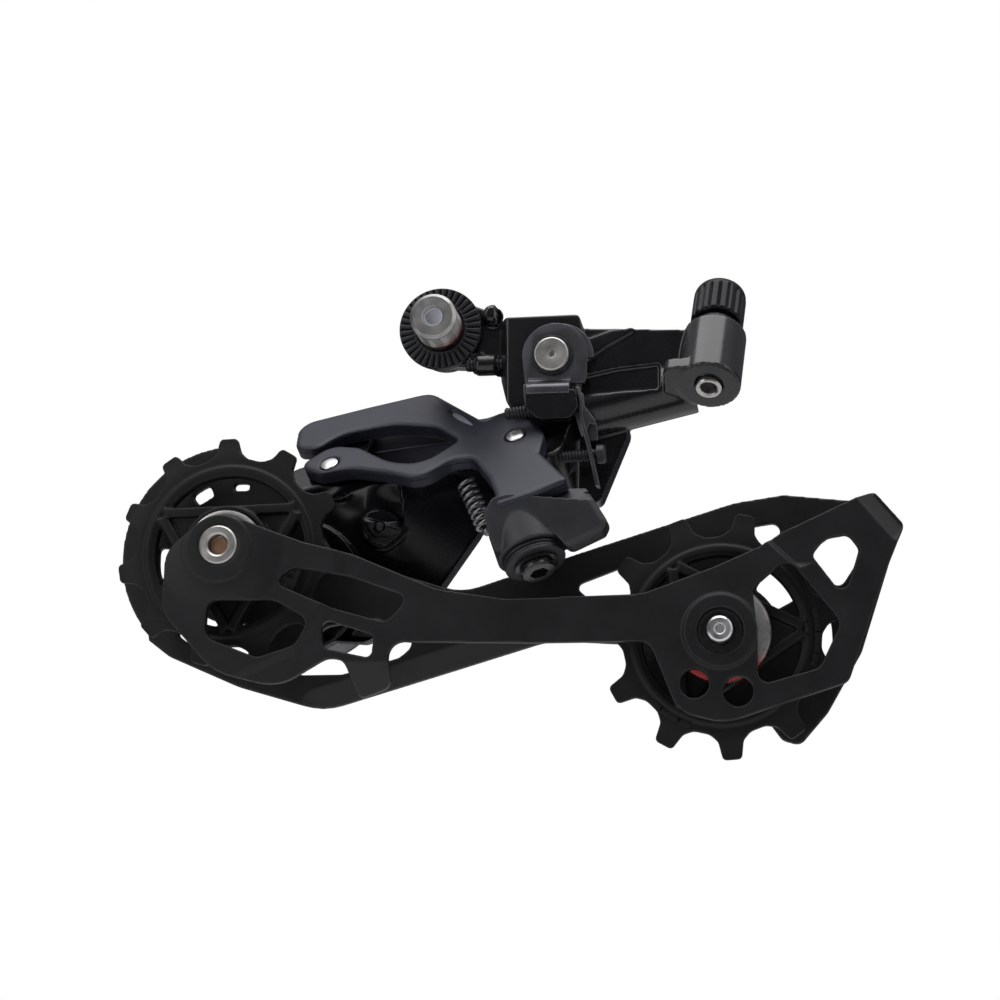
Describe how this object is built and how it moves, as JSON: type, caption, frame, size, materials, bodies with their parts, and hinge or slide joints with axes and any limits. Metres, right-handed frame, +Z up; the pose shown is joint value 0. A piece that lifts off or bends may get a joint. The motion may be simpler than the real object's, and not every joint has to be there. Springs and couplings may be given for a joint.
{
  "type": "rear bicycle derailleur",
  "caption": "Rear derailleur with a slant parallelogram, a barrel adjuster, and a long windowed cage that carries a toothed guide pulley and tension pulley.",
  "frame": {"origin": "on the serrated ring's flat face that meets the bicycle's hanger, 7 mm behind the mounting bolt's axis", "axes": "+X to the rear of the bicycle, +Z up, -Y to the wheel; the links and cage are drawn at rest, on the smallest sprocket with no chain"},
  "size_m": [0.1612, 0.0561, 0.104],
  "materials": {
    "steel": "turned bare steel",
    "spring_steel": "dark drawn spring wire",
    "black_steel": "black oxide steel",
    "dark_plate": "dark plated pressed steel",
    "gloss_black": "gloss black painted alloy",
    "black_alloy": "satin black alloy casting",
    "satin_black": "satin black coated plate",
    "blue_grey": "matte dark blue-grey paint",
    "black_plastic": "moulded black nylon"
  },
  "bodies": {
    "hanger_mount": {"mounting_bolt": "steel", "serrated_ring": "black_steel"},
    "b_knuckle": {"b_knuckle": "gloss_black", "screw_block": "gloss_black", "bracket_plate": "dark_plate", "bracket_strip": "dark_plate", "bracket_pin": "steel", "cable_ferrule": "steel", "link_pin_b_inner": "steel", "link_pin_b_outer": "steel"},
    "adjuster": {"barrel_adjuster": "black_plastic"},
    "b_screw": {"b_tension_screw": "black_steel"},
    "limit_screw_a": {"limit_screw_upper": "black_steel"},
    "limit_screw_b": {"limit_screw_lower": "black_steel"},
    "inner_link": {"inner_link": "blue_grey", "cable_arm": "black_steel", "cable_clamp_plate": "black_steel", "cable_anchor_bolt": "black_steel", "return_spring": "spring_steel"},
    "outer_link": {"outer_link": "blue_grey"},
    "p_knuckle": {"p_knuckle": "black_alloy", "knuckle_cover": "gloss_black", "cage_stop_pin": "steel", "cage_spring": "spring_steel", "link_pin_p_inner": "steel", "link_pin_p_outer": "steel"},
    "cage": {"cage_axle": "steel", "cage_plate_near": "satin_black", "cage_plate_far": "satin_black", "guide_pulley_bolt": "steel", "tension_pulley_bolt": "steel", "guide_pulley_cap_near": "steel", "guide_pulley_cap_far": "steel", "tension_pulley_cap_near": "steel", "tension_pulley_cap_far": "steel"},
    "guide_wheel": {"guide_pulley": "black_plastic", "guide_pulley_bearing": "steel"},
    "tension_wheel": {"tension_pulley": "black_plastic", "tension_pulley_bearing": "steel"}
  },
  "joints": [
    {"name": "b_pivot", "type": "hinge", "parent": "hanger_mount", "child": "b_knuckle", "pos_m": [-0.007, 0.004, 0], "axis": [0, -1, 0], "range_deg": [0, 25]},
    {"name": "adjuster_turn", "type": "hinge", "parent": "b_knuckle", "child": "adjuster", "pos_m": [0.0503, -0.005, -0.016], "axis": [0.0901, 0.5006, 0.861], "continuous": true},
    {"name": "b_screw_turn", "type": "hinge", "parent": "b_knuckle", "child": "b_screw", "pos_m": [-0.0014, 0.0004, -0.0085], "axis": [1, 0, 0], "continuous": true},
    {"name": "limit_a_turn", "type": "hinge", "parent": "b_knuckle", "child": "limit_screw_a", "pos_m": [0.0079, -0.006, -0.0209], "axis": [0.995, 0, 0.0995], "continuous": true},
    {"name": "limit_b_turn", "type": "hinge", "parent": "b_knuckle", "child": "limit_screw_b", "pos_m": [0.0165, -0.0046, -0.0303], "axis": [0.9988, 0, 0.0499], "continuous": true},
    {"name": "shift", "type": "hinge", "parent": "b_knuckle", "child": "inner_link", "pos_m": [0.01, -0.006, -0.0254], "axis": [-0.1897, -0.7188, 0.6689], "range_deg": [0, 45]},
    {"name": "outer_link_swing", "type": "hinge", "parent": "b_knuckle", "child": "outer_link", "pos_m": [0.00922, 0.00508, -0.01371], "axis": [-0.1897, -0.7188, 0.6689], "range_deg": [0, 45]},
    {"name": "p_knuckle_level", "type": "hinge", "parent": "inner_link", "child": "p_knuckle", "pos_m": [-0.03127, 0.00198, -0.02852], "axis": [-0.1897, -0.7188, 0.6689], "range_deg": [-45, 0]},
    {"name": "cage_swing", "type": "hinge", "parent": "p_knuckle", "child": "cage", "pos_m": [-0.037, 0, -0.055], "axis": [0, 1, 0], "range_deg": [0, 60]},
    {"name": "guide_spin", "type": "hinge", "parent": "cage", "child": "guide_wheel", "pos_m": [-0.0483, -0.0132, -0.05], "axis": [0, 1, 0], "continuous": true},
    {"name": "tension_spin", "type": "hinge", "parent": "cage", "child": "tension_wheel", "pos_m": [0.0521, -0.0132, -0.069], "axis": [0, 1, 0], "continuous": true}
  ],
  "couplings": [
    {"joint": "outer_link_swing", "follows": "shift", "ratio": 1},
    {"joint": "p_knuckle_level", "follows": "shift", "ratio": -1}
  ]
}
